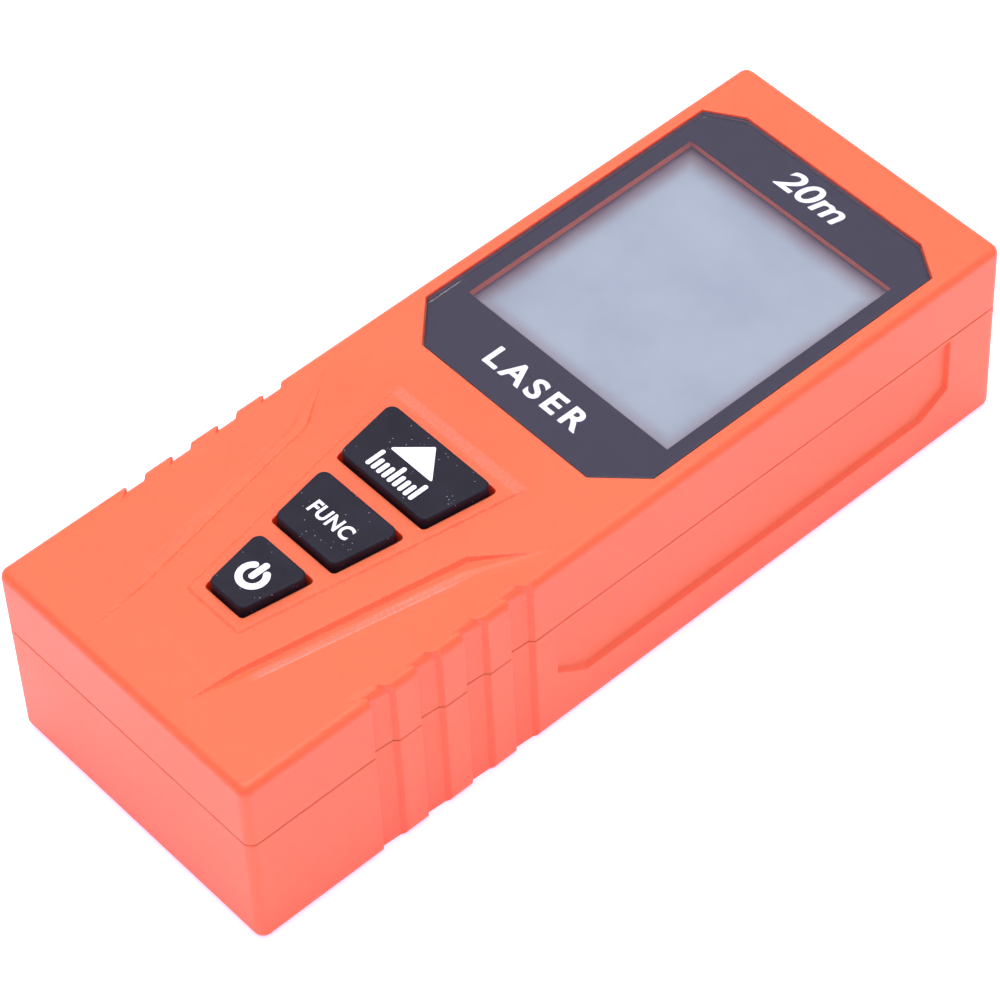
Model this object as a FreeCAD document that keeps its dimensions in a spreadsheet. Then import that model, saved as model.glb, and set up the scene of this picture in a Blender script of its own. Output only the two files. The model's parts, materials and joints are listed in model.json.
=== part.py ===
import FreeCAD, Part
import Sketcher
import math
import os
from FreeCAD import Vector, Rotation, Placement

# Pocket laser distance meter, millimetres.
# Frame: origin at the centre of the rear face, +X to the right of a person
# reading the display, +Y toward the laser end, +Z out of the display.

os.makedirs("parts", exist_ok=True)
doc = FreeCAD.newDocument("LaserDistanceMeter")

# ---------------------------------------------------------------- sizes
SIZES = [
    ("body_length", 105.0, "overall length, base end to laser end"),
    ("body_width", 38.9, "overall width"),
    ("body_height", 24.8, "rear face to the display plane"),
    ("split_height", 15.9, "height of the parting line"),
    ("wall_thick", 1.7, "case wall"),
    ("ceiling_level", 23.1, "underside of the front wall"),
    ("corner_round", 1.2, "vertical corner radius"),
    ("top_round", 1.05, "radius round the display face"),
    ("base_round", 0.85, "radius round the rear face"),
    ("seam_bevel", 0.12, "bevel each side of the parting line"),
    ("groove_pitch", 6.07, "spacing of the side grip grooves"),
    ("groove_depth", 0.7, "depth of the side grip grooves at the base end"),
    ("groove_shallow", 0.52, "depth of the side grip grooves, laser end"),
    ("groove_start", -15.3, "first groove, end of its floor"),
    ("groove_floor", 2.6, "length of each groove floor"),
    ("side_recess", 0.53, "depth of the long side recess"),
    ("plateau_rise", 0.24, "raised keypad field above the display plane"),
    ("panel_rise", 0.44, "key panel above the display plane"),
    ("scoop_depth", 0.3, "deepest point of the scoops beside the field"),
    ("lens_thick", 0.8, "display lens"),
    ("mask_thick", 0.1, "printed border under the lens"),
    ("glue_thick", 0.1, "lens adhesive"),
    ("lens_gap", 0.16, "gap round the lens"),
    ("window_half", 15.3, "half width of the display window"),
    ("window_low", 7.5, "lower edge of the display window"),
    ("window_high", 40.0, "upper edge of the display window"),
    ("key_rise", 1.41, "key tops above the display plane"),
    ("key_gap", 0.3, "gap round each key"),
    ("key_travel", 0.7, "key stroke"),
    ("key_corner", 1.0, "key corner radius"),
    ("key_edge", 0.26, "radius round the key tops"),
    ("board_level", 17.7, "underside of the main board"),
    ("board_thick", 1.2, "circuit board"),
    ("lcd_top", 22.5, "front face of the display glass stack"),
    ("bay_half", 11.3, "half width of the battery bay"),
    ("bay_low", -49.4, "base end of the battery bay"),
    ("bay_high", -0.4, "laser end of the battery bay"),
    ("bay_ceiling", 13.2, "roof of the battery bay"),
    ("cell_radius", 5.25, "AAA cell radius"),
    ("cell_can", 43.5, "AAA cell can length"),
    ("cell_start", -46.6, "base end of the cell cans"),
    ("cell_offset", 5.6, "cell axis from the centre line"),
    ("cell_level", 7.2, "cell axis above the rear face"),
    ("door_half", 11.0, "half width of the battery door"),
    ("door_low", -49.0, "base end of the battery door"),
    ("door_inset", 0.25, "door face behind the rear face"),
    ("door_thick", 1.4, "battery door"),
    ("hinge_along", 0.5, "door hinge axis, along the body"),
    ("hinge_level", 1.05, "door hinge axis above the rear face"),
    ("hinge_round", 0.8, "door knuckle radius"),
    ("pin_radius", 0.6, "door pivot radius"),
    ("pin_clear", 0.06, "radial clearance of the door pivots"),
    ("screw_across", 15.2, "case screws from the centre line"),
    ("screw_along", 46.0, "case screws from the middle"),
    ("screw_radius", 1.0, "case screw"),
    ("boss_radius", 2.7, "rear screw post"),
    ("optic_level", 10.6, "optical axes above the rear face"),
    ("receiver_across", 4.6, "receiver axis from the centre line"),
    ("emitter_across", -8.2, "laser axis from the centre line"),
    ("receiver_radius", 6.0, "receiver lens radius"),
    ("barrel_radius", 3.0, "laser barrel radius"),
]
sheet = doc.addObject("Spreadsheet::Sheet", "Sizes")
VALUE = {}
for row, (alias, number, note) in enumerate(SIZES, 1):
    sheet.set("A%d" % row, note)
    sheet.set("B%d" % row, str(number))
    sheet.setAlias("B%d" % row, alias)
    VALUE[alias] = number
doc.recompute()


class Q:
    """A length that knows its value and its spreadsheet expression."""

    def __init__(self, value, text, fixed=False):
        self.value = float(value)
        self.text = text
        self.fixed = fixed

    def _join(self, other, sign, value):
        return Q(value, "(%s %s %s)" % (self.text, sign, other.text),
                 self.fixed and other.fixed)

    def __add__(self, other):
        other = as_q(other)
        return self._join(other, "+", self.value + other.value)

    def __radd__(self, other):
        return as_q(other) + self

    def __sub__(self, other):
        other = as_q(other)
        return self._join(other, "-", self.value - other.value)

    def __rsub__(self, other):
        return as_q(other) - self

    def __mul__(self, other):
        other = as_q(other)
        return self._join(other, "*", self.value * other.value)

    def __rmul__(self, other):
        return as_q(other) * self

    def __truediv__(self, other):
        other = as_q(other)
        return self._join(other, "/", self.value / other.value)

    def __neg__(self):
        return as_q(-1.0) * self


def as_q(x):
    if isinstance(x, Q):
        return x
    return Q(x, "%.6f" % float(x) if x >= 0 else "(%.6f)" % float(x), True)


def D(alias):
    return Q(VALUE[alias], "Sizes." + alias)


def num(x):
    return as_q(x).value


def bind(obj, prop, size):
    size = as_q(size)
    if not size.fixed:
        obj.setExpression(prop, size.text)


def place(obj, x, y, z, rotation=None):
    obj.Placement = Placement(Vector(num(x), num(y), num(z)),
                              rotation or Rotation())
    bind(obj, "Placement.Base.x", x)
    bind(obj, "Placement.Base.y", y)
    bind(obj, "Placement.Base.z", z)


def box(name, x0, x1, y0, y1, z0, z1):
    o = doc.addObject("Part::Box", name)
    for prop, size in (("Length", as_q(x1) - x0), ("Width", as_q(y1) - y0),
                       ("Height", as_q(z1) - z0)):
        setattr(o, prop, size.value)
        bind(o, prop, size)
    place(o, x0, y0, z0)
    return o


TURN = {"Z": Rotation(), "Y": Rotation(Vector(1, 0, 0), -90),
        "X": Rotation(Vector(0, 1, 0), 90)}


def rod(name, axis, x, y, z, radius, length):
    """Cylinder that starts at (x, y, z) and runs along +axis."""
    o = doc.addObject("Part::Cylinder", name)
    o.Radius = num(radius)
    o.Height = num(length)
    bind(o, "Radius", radius)
    bind(o, "Height", length)
    place(o, x, y, z, TURN[axis])
    return o


def cone(name, axis, x, y, z, radius1, radius2, length):
    o = doc.addObject("Part::Cone", name)
    o.Radius1 = num(radius1)
    o.Radius2 = num(radius2)
    o.Height = num(length)
    bind(o, "Radius1", radius1)
    bind(o, "Radius2", radius2)
    bind(o, "Height", length)
    place(o, x, y, z, TURN[axis])
    return o


def fuse(name, items):
    o = doc.addObject("Part::MultiFuse", name)
    o.Shapes = list(items)
    o.Refine = True
    return o


def cut(name, base, items):
    items = list(items)
    tool = items[0] if len(items) == 1 else fuse(name + "_cutters", items)
    o = doc.addObject("Part::Cut", name)
    o.Base = base
    o.Tool = tool
    o.Refine = True
    return o


def loop(sk, points):
    """Closed polygon; every corner is dimensioned from the sketch origin."""
    first = sk.GeometryCount
    n = len(points)
    pts = [Vector(num(px), num(py), 0) for px, py in points]
    sk.addGeometry([Part.LineSegment(pts[i], pts[(i + 1) % n])
                    for i in range(n)], False)
    for i in range(n):
        sk.addConstraint(Sketcher.Constraint(
            "Coincident", first + i, 2, first + (i + 1) % n, 1))
    for i, (px, py) in enumerate(points):
        for kind, size, axis in (("DistanceX", px, -2), ("DistanceY", py, -1)):
            size = as_q(size)
            if abs(size.value) < 1e-9:
                sk.addConstraint(Sketcher.Constraint(
                    "PointOnObject", first + i, 1, axis))
                continue
            k = sk.addConstraint(Sketcher.Constraint(
                kind, -1, 1, first + i, 1, size.value))
            if not size.fixed:
                sk.setExpression("Constraints[%d]" % k, size.text)


def ring(sk, x, y, radius):
    """Circle dimensioned from the sketch origin."""
    g = sk.addGeometry(Part.Circle(Vector(num(x), num(y), 0), Vector(0, 0, 1),
                                   num(radius)), False)
    for kind, size, axis in (("DistanceX", x, -2), ("DistanceY", y, -1)):
        size = as_q(size)
        if abs(size.value) < 1e-9:
            sk.addConstraint(Sketcher.Constraint("PointOnObject", g, 3, axis))
            continue
        k = sk.addConstraint(Sketcher.Constraint(
            kind, -1, 1, g, 3, size.value))
        if not size.fixed:
            sk.setExpression("Constraints[%d]" % k, size.text)
    radius = as_q(radius)
    k = sk.addConstraint(Sketcher.Constraint("Radius", g, radius.value))
    if not radius.fixed:
        sk.setExpression("Constraints[%d]" % k, radius.text)


PLANE = {"XY": Rotation(), "YZ": Rotation(Vector(1, 1, 1), 120),
         "XZ": Rotation(Vector(1, 0, 0), 90)}


def prism(name, loops, plane, start, length):
    """Sketch of closed polygons, extruded along the plane's normal."""
    sk = doc.addObject("Sketcher::SketchObject", name + "_sketch")
    for points in loops:
        loop(sk, points)
    off = {"XY": (0, 0, start), "YZ": (start, 0, 0), "XZ": (0, start, 0)}[plane]
    place(sk, off[0], off[1], off[2], PLANE[plane])
    o = doc.addObject("Part::Extrusion", name)
    o.Base = sk
    o.DirMode = "Normal"
    o.Solid = True
    o.LengthFwd = num(length)
    bind(o, "LengthFwd", length)
    return o


def origin_plane(body, role):
    for feature in body.Origin.OriginFeatures:
        if feature.Role == role:
            return feature


def new_body(name):
    b = doc.addObject("PartDesign::Body", name)
    b.Label = name
    return b


def body_sketch(body, name, level, role="XY_Plane"):
    sk = body.newObject("Sketcher::SketchObject", name)
    sk.AttachmentSupport = [(origin_plane(body, role), "")]
    sk.MapMode = "FlatFace"
    sk.AttachmentOffset = Placement(Vector(0, 0, num(level)), Rotation())
    bind(sk, "AttachmentOffset.Base.z", level)
    return sk


def pad(body, name, loops, level, length, circles=(), role="XY_Plane"):
    sk = body_sketch(body, name + "_sketch", level, role)
    for points in loops:
        loop(sk, points)
    for x, y, radius in circles:
        ring(sk, x, y, radius)
    p = body.newObject("PartDesign::Pad", name)
    p.Profile = sk
    p.Length = num(length)
    bind(p, "Length", length)
    doc.recompute()
    return p


def pocket(body, name, loops, level, length, circles=(), role="XY_Plane",
           up=True):
    """Pocket that removes material from its level; its bite is measured."""
    before = body.Shape.Volume
    sk = body_sketch(body, name + "_sketch", level, role)
    for points in loops:
        loop(sk, points)
    for x, y, radius in circles:
        ring(sk, x, y, radius)
    p = body.newObject("PartDesign::Pocket", name)
    p.Profile = sk
    p.Length = num(length)
    p.Reversed = up
    bind(p, "Length", length)
    doc.recompute()
    if body.Shape.Volume > before - 1e-3:
        p.Reversed = not up
        doc.recompute()
    if body.Shape.Volume > before - 1e-3:
        raise RuntimeError(name + " removes nothing")
    return p


def edges_where(shape, test):
    names = []
    for i, edge in enumerate(shape.Edges, 1):
        ends = [v.Point for v in edge.Vertexes]
        if len(ends) == 2 and test(ends[0], ends[1]):
            names.append("Edge%d" % i)
    return names


def dress(body, kind, name, size, test):
    """Fillet or chamfer of the edges that pass the test."""
    base = body.Tip
    names = edges_where(base.Shape, test)
    if not names:
        raise RuntimeError(name + " finds no edge")
    f = body.newObject("PartDesign::" + kind, name)
    f.Base = (base, names)
    prop = "Radius" if kind == "Fillet" else "Size"
    setattr(f, prop, num(size))
    bind(f, prop, size)
    doc.recompute()
    return f


def upright(a, b):
    return (abs(a.x - b.x) < 1e-6 and abs(a.y - b.y) < 1e-6
            and abs(a.z - b.z) > 1e-3)


def at_level(z):
    z = num(z)
    return lambda a, b: abs(a.z - z) < 1e-6 and abs(b.z - z) < 1e-6


def hull_solid(points):
    """Convex solid over a few corner points."""
    pts = [Vector(*[num(c) for c in p]) for p in points]
    seen = set()
    faces = []
    n = len(pts)
    for i in range(n):
        for j in range(i + 1, n):
            for k in range(j + 1, n):
                normal = (pts[j] - pts[i]).cross(pts[k] - pts[i])
                if normal.Length < 1e-9:
                    continue
                normal.normalize()
                away = [normal.dot(p - pts[i]) for p in pts]
                if max(away) > 1e-7 and min(away) < -1e-7:
                    continue
                if max(away) > 1e-7:
                    normal = normal * -1
                key = (round(normal.x, 5), round(normal.y, 5),
                       round(normal.z, 5), round(normal.dot(pts[i]), 4))
                if key in seen:
                    continue
                seen.add(key)
                on = [p for p, d in zip(pts, away) if abs(d) < 1e-6]
                mid = Vector(0, 0, 0)
                for p in on:
                    mid = mid + p
                mid = mid * (1.0 / len(on))
                u = (on[0] - mid).normalize()
                v = normal.cross(u)
                on.sort(key=lambda p: math.atan2((p - mid).dot(v),
                                                 (p - mid).dot(u)))
                faces.append(Part.Face(Part.makePolygon(on + [on[0]])))
    solid = Part.makeSolid(Part.makeShell(faces))
    if solid.Volume < 0:
        solid.reverse()
    return solid


def feature(name, shape):
    o = doc.addObject("Part::Feature", name)
    o.Shape = shape
    o.Placement = Placement()
    return o


NODES = {}


def node(name, obj):
    obj.Label = name
    NODES[name] = obj
    return obj


# ------------------------------------------------------- shared lengths
H = D("body_height")
W2 = D("body_width") / 2
L2 = D("body_length") / 2
SPLIT = D("split_height")
WALL = D("wall_thick")
CEIL = D("ceiling_level")
IN_X = W2 - WALL
IN_Y = L2 - WALL
h = num(H)
w2 = num(W2)
BOARD = D("board_level")
BOARD_TOP = D("board_level") + D("board_thick")
OPT_Z = D("optic_level")
REC_X = D("receiver_across")
EMI_X = D("emitter_across")
SX = D("screw_across")
SY = D("screw_along")
CORNERS = [(1, 1), (1, -1), (-1, 1), (-1, -1)]

# --------------------------------------------- cutters shared by covers
# Four upright grip grooves on each side: a steep wall at the base end and
# an easy ramp at the laser end.
GD = D("groove_depth")
GS = D("groove_shallow")
groove_loops = {1: [], -1: []}
for side in (1, -1):
    for k in range(4):
        y1 = D("groove_start") - D("groove_pitch") * k
        y0 = y1 - D("groove_floor")
        groove_loops[side].append([
            ((W2 + 0.3) * side, y0 - 0.2), ((W2 - GD) * side, y0),
            ((W2 - GS) * side, y1), ((W2 + 0.3) * side, y1 + 0.78)])
groove_right = prism("groove_right", groove_loops[1], "XY", -1.0, 30.0)
groove_left = prism("groove_left", groove_loops[-1], "XY", -1.0, 30.0)

# The parting line goes on round the grooves as a fine slot.
slot_loops = {1: [], -1: []}
for side in (1, -1):
    for k in range(4):
        y1 = D("groove_start") - D("groove_pitch") * k
        y0 = y1 - D("groove_floor")
        deep = W2 - GD - D("seam_bevel")
        near = W2 - GS - D("seam_bevel")
        slot_loops[side].append([
            ((W2 + 0.3) * side, y0 - 0.36), (deep * side, y0 - 0.09),
            (near * side, y1 + 0.05), ((W2 + 0.3) * side, y1 + 0.94)])
slot_right = prism("seam_slot_right", slot_loops[1], "XY", SPLIT - 0.08, 0.16)
slot_left = prism("seam_slot_left", slot_loops[-1], "XY", SPLIT - 0.08, 0.16)

# Each groove opens through the rounded front edge in a skewed, softly
# rounded notch: a rounded profile within a slanting outline.
facets = []
gd = num(GD)
gs = num(GS)
for side in (1, -1):
    for k in range(4):
        y1 = VALUE["groove_start"] - VALUE["groove_pitch"] * k
        y0 = y1 - VALUE["groove_floor"]
        profile = [(17.4, h + 0.012), (17.95, h - 0.06), (18.32, h - 0.2),
                   (18.58, h - 0.42), (18.78, h - 0.76), (w2 - gs, h - 1.2),
                   (w2 + 0.3, h - 1.2), (w2 + 0.3, h + 0.6), (17.4, h + 0.6)]
        ring_pts = [Vector(x * side, y0 - 4.0, z) for x, z in profile]
        bar = Part.Face(Part.makePolygon(ring_pts + [ring_pts[0]]))
        bar = bar.extrude(Vector(0, y1 - y0 + 6.0, 0))
        plan = [(17.3, y0 - 2.1), (w2 - gd, y0), (w2 + 0.3, y0 - 0.2),
                (w2 + 0.3, y1 + 0.78), (w2 - gs, y1), (17.3, y1 - 1.72)]
        plan_pts = [Vector(x * side, y, h - 2.0) for x, y in plan]
        column = Part.Face(Part.makePolygon(plan_pts + [plan_pts[0]]))
        column = column.extrude(Vector(0, 0, 4.0))
        facets.append(bar.common(column).Solids[0])

# Long shallow recess on each side of the rear cover, with cut corners and
# steep walls. A narrow lip stays between it and the parting line.
sr = VALUE["side_recess"]
rear_side = []
for side in (1, -1):
    deep = [(-7.85, 5.85), (40.95, 5.85), (45.0, 8.15), (45.0, 15.36),
            (-11.75, 15.36), (-11.75, 8.5)]
    grow = [(-8.05, 5.3), (41.15, 5.3), (45.28, 7.7), (45.28, 15.5),
            (-12.1, 15.5), (-12.1, 8.22)]
    rear_side.append(hull_solid(
        [((w2 + 0.16) * side, y, z) for y, z in grow]
        + [((w2 - sr) * side, y, z) for y, z in deep]))
rear_side_recess = feature("rear_side_recess", Part.makeCompound(rear_side))

# Opening in the laser end for the black optics panel.
end_opening = box("end_opening", -14.5, 14.5, L2 - WALL - 0.2, L2 + 1, 3.5, 20.1)

# =============================================================== covers
# ---- rear cover: tray with the battery bay and the screw posts
rear_blank = new_body("rear_blank")
pad(rear_blank, "rear_block", [[(-W2, -L2), (W2, -L2), (W2, L2), (-W2, L2)]],
    0, SPLIT)
dress(rear_blank, "Fillet", "rear_corners", D("corner_round"), upright)
dress(rear_blank, "Fillet", "rear_edge", D("base_round"), at_level(0))
dress(rear_blank, "Chamfer", "rear_seam", D("seam_bevel"), at_level(SPLIT))

rear_cavity = box("rear_cavity", -IN_X, IN_X, -IN_Y, IN_Y, WALL, 20.0)
rear_tray = cut("rear_tray", rear_blank, [rear_cavity])
BAY = D("bay_half")
adds = [rear_tray,
        box("bay_block", -(BAY + 1.4), BAY + 1.4, -IN_Y - 0.3, 3.0, 0.9,
            D("bay_ceiling") + 1.0)]
for sx, sy in CORNERS:
    adds.append(rod("rear_post", "Z", SX * sx, SY * sy, 1.2,
                    D("boss_radius"), SPLIT - 1.3))
for sx in (1, -1):
    adds.append(rod("bracket_post", "Z", 15.0 * sx, 33.0, 1.2, 1.9, 3.8))
rear_built = fuse("rear_built", adds)
cuts = [box("bay_room", -BAY, BAY, D("bay_low"), D("bay_high"), -1.0,
            D("bay_ceiling")),
        box("door_room", -BAY, BAY, D("bay_low"), D("hinge_along") + 1.05,
            -1.0, 2.05),
        rod("pivot_holes", "X", -(D("door_half") + 1.45), D("hinge_along"),
            D("hinge_level"), D("pin_radius") + D("pin_clear"),
            D("door_half") * 2 + 2.9),
        box("tab_slot_a", -6.9, -4.3, -1.15, -0.3, 12.0, 16.0),
        box("tab_slot_b", 4.3, 6.9, -1.15, -0.3, 12.0, 16.0),
        box("nail_notch", -4.5, 4.5, -50.5, -49.0, -0.5, 0.9),
        end_opening, groove_right, groove_left, slot_right, slot_left,
        rear_side_recess]
for sx, sy in CORNERS:
    cuts.append(rod("head_room", "Z", SX * sx, SY * sy, -0.5, 2.1, 3.5))
    cuts.append(rod("shank_room", "Z", SX * sx, SY * sy, 2.0,
                    D("screw_radius") + 0.15, 14.0))
for sx in (1, -1):
    cuts.append(rod("bracket_pilot", "Z", 15.0 * sx, 33.0, 1.9, 0.85, 4.0))
node("rear_cover", cut("rear_cover", rear_built, cuts))

# ---- front cover: display face, raised keypad field, side scoops
front_blank = new_body("front_blank")
pad(front_blank, "front_block", [[(-W2, -L2), (W2, -L2), (W2, L2), (-W2, L2)]],
    SPLIT, H - SPLIT)
dress(front_blank, "Fillet", "front_corners", D("corner_round"), upright)
dress(front_blank, "Fillet", "front_edge", D("top_round"), at_level(H))
dress(front_blank, "Chamfer", "front_seam", D("seam_bevel"), at_level(SPLIT))

pr = VALUE["plateau_rise"]
sd = VALUE["scoop_depth"]


def both(points):
    return [(s * x, y, z) for x, y, z in points for s in (1, -1)]


field_wide = feature("field_wide", hull_solid(
    both([(9.5, -1.6, h - 0.4), (17.43, -10.3, h - 0.4),
          (12.75, -17.2, h - 0.4), (9.5, -1.6, h), (17.43, -10.3, h),
          (12.75, -17.2, h), (10.6, -8.6, h + pr), (12.45, -17.3, h + pr)])))
field_long = feature("field_long", hull_solid(
    both([(12.75, -17.2, h - 0.4), (7.5, -45.5, h - 0.4),
          (6.81, -50.2, h - 0.4), (12.75, -17.2, h), (7.5, -45.5, h),
          (6.81, -50.2, h), (12.45, -17.3, h + pr), (7.9, -41.8, h + pr),
          (7.2, -45.6, h + pr * 0.75), (6.9, -48.2, h + pr * 0.38)])))

# A narrow channel runs along each flank of the field: a steep wall on the
# field's side and an easy slope outside.
channels = []
for side in (1, -1):
    channels.append(hull_solid([(x * side, y, z) for x, y, z in [
        (12.04, -17.3, h + 0.33), (7.15, -43.4, h + 0.33),
        (12.58, -17.35, h - 0.27), (7.72, -43.3, h - 0.25),
        (13.5, -19.0, h + 0.05), (8.72, -43.0, h + 0.05),
        (14.15, -18.8, h + 0.33), (9.37, -43.0, h + 0.33),
        (16.9, -11.1, h + 0.03), (16.9, -11.1, h + 0.33),
        (6.85, -49.2, h + 0.03), (6.85, -49.2, h + 0.33)]]))
flank_channels = feature("flank_channels", Part.makeCompound(channels))

scoops = []
for side in (1, -1):
    rim = [(17.43, -10.3), (w2 + 0.2, -12.5), (w2 + 0.2, -37.0), (17.0, -36.5),
           (9.3, -44.5), (7.5, -45.5), (12.75, -17.2)]
    T0, O1, O2, S4, S3, F2, F1 = [Vector(x * side, y, h) for x, y in rim]
    S2 = Vector(13.6 * side, -18.9, h - sd)
    S1 = Vector(16.6 * side, -14.6, h - sd * 0.5)
    lift = Vector(0, 0, 1.2)
    low = [T0, O1, O2, S4, S3, F2, F1]
    faces = [Part.Face(Part.makePolygon([p + lift for p in low + [low[0]]]))]
    for i in range(7):
        a, b = low[i], low[(i + 1) % 7]
        faces.append(Part.Face(Part.makePolygon([a, b, b + lift, a + lift, a])))
    for tri in ((T0, F1, S2), (T0, S2, S1), (F1, F2, S2), (F2, S3, S2),
                (S2, S3, S4), (S2, S4, O2), (S2, O2, O1), (S2, O1, S1),
                (S1, O1, T0)):
        faces.append(Part.Face(Part.makePolygon(list(tri) + [tri[0]])))
    solid = Part.makeSolid(Part.makeShell(faces))
    if solid.Volume < 0:
        solid.reverse()
    scoops.append(solid)
side_scoops = feature("side_scoops", Part.makeCompound(scoops))

# The key panel is a low pad on the field, with an easy slope toward the
# display and soft sides.
ph = VALUE["panel_rise"]
key_panel = feature("key_panel", hull_solid(
    both([(9.5, -8.3, h + ph), (3.85, -40.0, h + ph),
          (10.0, -6.9, h + pr - 0.04), (4.15, -40.4, h + pr - 0.04),
          (10.0, -6.9, h - 0.4), (4.15, -40.4, h - 0.4)])))

# Octagonal lens seat and the window through it.
LG = D("lens_gap")
LENS = [(17.4, 43.8), (13.2, 46.4), (-13.2, 46.4), (-17.4, 43.8),
        (-17.4, 3.6), (-12.6, -1.15), (12.6, -1.15), (17.4, 3.6)]
SIGN = [(1, 0.35), (0.35, 1), (-0.35, 1), (-1, 0.35),
        (-1, -0.45), (-0.45, -1), (0.45, -1), (1, -0.45)]
seat_level = H - D("lens_thick") - D("mask_thick") - D("glue_thick")
lens_seat = prism("lens_seat", [[(x + LG * a, y + LG * b)
                                 for (x, y), (a, b) in zip(LENS, SIGN)]],
                  "XY", seat_level, 3.0)
WH, WL, WU = D("window_half"), D("window_low"), D("window_high")
window_hole = box("window_hole", -(WH + 0.2), WH + 0.2, WL - 0.3, WU + 0.3,
                  CEIL - 2, H + 1)

# Key openings: three trapezoids in one taper.
KEYS = {
    "measure": [(8.2, -9.3), (6.78, -18.25)],
    "func": [(6.3, -20.15), (4.88, -28.55)],
    "power": [(4.35, -30.4), (2.93, -38.85)],
}


def key_loop(key, inset):
    """Trapezoid of a key opening, moved inward by inset."""
    (xa, ya), (xb, yb) = KEYS[key]
    inset = as_q(inset)
    return [(xa - inset, ya - inset), (xb - inset, yb + inset),
            (-(xb - inset), yb + inset), (-(xa - inset), ya - inset)]


key_holes = []
for key in KEYS:
    b = new_body(key + "_opening")
    pad(b, key + "_opening_pad", [key_loop(key, 0)], CEIL - 2, 6.0)
    dress(b, "Fillet", key + "_opening_round", D("key_corner") - 0.45, upright)
    key_holes.append(b)

front_cavity = box("front_cavity", -IN_X, IN_X, -IN_Y, IN_Y, SPLIT - 2, CEIL)
front_mass = fuse("front_mass", [front_blank, field_wide, field_long])
front_skin = cut("front_skin", front_mass, [side_scoops])
front_skin = cut("front_flanked", front_skin, [flank_channels])
front_skin = fuse("front_padded", [front_skin, key_panel])
front_tray = cut("front_tray", front_skin, [front_cavity])
adds = [front_tray,
        box("window_rim", -(WH + 1.6), WH + 1.6, WL - 1.6, WU + 1.6,
            D("lcd_top") + 0.2, CEIL + 0.2)]
for sx, sy in CORNERS:
    adds.append(rod("front_post", "Z", SX * sx, SY * sy, SPLIT,
                    D("boss_radius") - 0.4, CEIL + 0.2 - SPLIT))
BOARD_SCREWS = [(14.2, -5.0), (14.2, -38.5), (-14.2, -5.0), (-14.2, -38.5)]
for x, y in BOARD_SCREWS:
    adds.append(rod("board_post", "Z", x, y, BOARD_TOP + 0.03, 2.0,
                    CEIL + 0.17 - BOARD_TOP))
for side in (1, -1):
    x0, x1 = sorted([num(IN_X) - 0.98, num(IN_X) + 0.2])
    inner, outer = IN_X - 0.98, IN_X + 0.2
    lap = IN_X - 0.08
    if side > 0:
        adds.append(box("lip_root", inner, outer, -42.0, 42.0, SPLIT, SPLIT + 1.2))
        adds.append(box("lip", inner, lap, -42.0, 42.0, SPLIT - 1.0, SPLIT + 0.5))
    else:
        adds.append(box("lip_root", -outer, -inner, -42.0, 42.0, SPLIT,
                        SPLIT + 1.2))
        adds.append(box("lip", -lap, -inner, -42.0, 42.0, SPLIT - 1.0,
                        SPLIT + 0.5))
front_built = fuse("front_built", adds)
front_face = cut("front_window", front_built, [lens_seat, window_hole])
front_face = cut("front_keyed", front_face, key_holes)
front_face = cut("front_right_grip", front_face, [groove_right])
front_face = cut("front_left_grip", front_face, [groove_left])
for k, shape in enumerate(facets):
    front_face = cut("front_facet_%d" % k, front_face,
                     [feature("groove_facet_%d" % k, shape)])
front_face = cut("front_slotted", front_face, [slot_right, slot_left])
cuts = [end_opening]
for sx, sy in CORNERS:
    cuts.append(rod("case_pilot", "Z", SX * sx, SY * sy, SPLIT - 1,
                    D("screw_radius") + 0.05, CEIL - SPLIT))
for x, y in BOARD_SCREWS:
    cuts.append(rod("board_pilot", "Z", x, y, BOARD_TOP - 1, 0.85,
                    CEIL - BOARD_TOP + 0.5))
node("front_cover", cut("front_cover", front_face, cuts))

# ====================================================== display assembly
# Clear octagonal lens, flush with the display face.
lens_body = new_body("display_lens")
pad(lens_body, "lens_plate", [LENS], H - D("lens_thick"), D("lens_thick"))
dress(lens_body, "Fillet", "lens_corners", 0.6, upright)
dress(lens_body, "Chamfer", "lens_edge", 0.12, at_level(H))
node("display_lens", lens_body)


def frame_plate(name, level, thick, inset):
    """Octagon under the lens with the display window cut out."""
    b = new_body(name)
    pad(b, name + "_plate",
        [[(x - a * inset, y - c * inset) for (x, y), (a, c) in zip(LENS, SIGN)],
         [(-WH, WL), (WH, WL), (WH, WU), (-WH, WU)]], level, thick)
    return node(name, b)


frame_plate("lens_mask", H - D("lens_thick") - D("mask_thick"),
            D("mask_thick") - 0.01, 0.02)
glue = new_body("lens_adhesive")
pad(glue, "glue_ring",
    [[(x - a * 0.35, y - c * 0.35) for (x, y), (a, c) in zip(LENS, SIGN)],
     [(-(WH + 0.5), WL - 0.6), (WH + 0.5, WL - 0.6), (WH + 0.5, WU + 0.6),
      (-(WH + 0.5), WU + 0.6)]], seat_level, D("glue_thick"))
node("lens_adhesive", glue)

LCD = D("lcd_top")
node("lcd_front_polarizer", box("lcd_front_polarizer", -16.2, 16.2, 6.8, 41.4,
                                LCD - 0.18, LCD))
node("lcd_glass", box("lcd_glass", -16.7, 16.7, 5.6, 41.8, LCD - 1.75,
                      LCD - 0.2))
node("lcd_rear_polarizer", box("lcd_rear_polarizer", -16.2, 16.2, 8.0, 41.4,
                               LCD - 1.95, LCD - 1.77))
node("backlight_guide", box("backlight_guide", -16.0, 16.0, 9.4, 41.2,
                            BOARD_TOP + 0.05, LCD - 1.98))
node("backlight_leds", fuse("backlight_leds", [
    box("led", x - 1.5, x + 1.5, 8.1, 9.3, BOARD_TOP + 0.02, BOARD_TOP + 0.9)
    for x in (-9.0, 0.0, 9.0)]))
node("zebra_connector", box("zebra_connector", -15.0, 15.0, 5.7, 7.7,
                            BOARD_TOP + 0.02, LCD - 1.77))
lcd_frame = new_body("lcd_frame")
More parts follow.
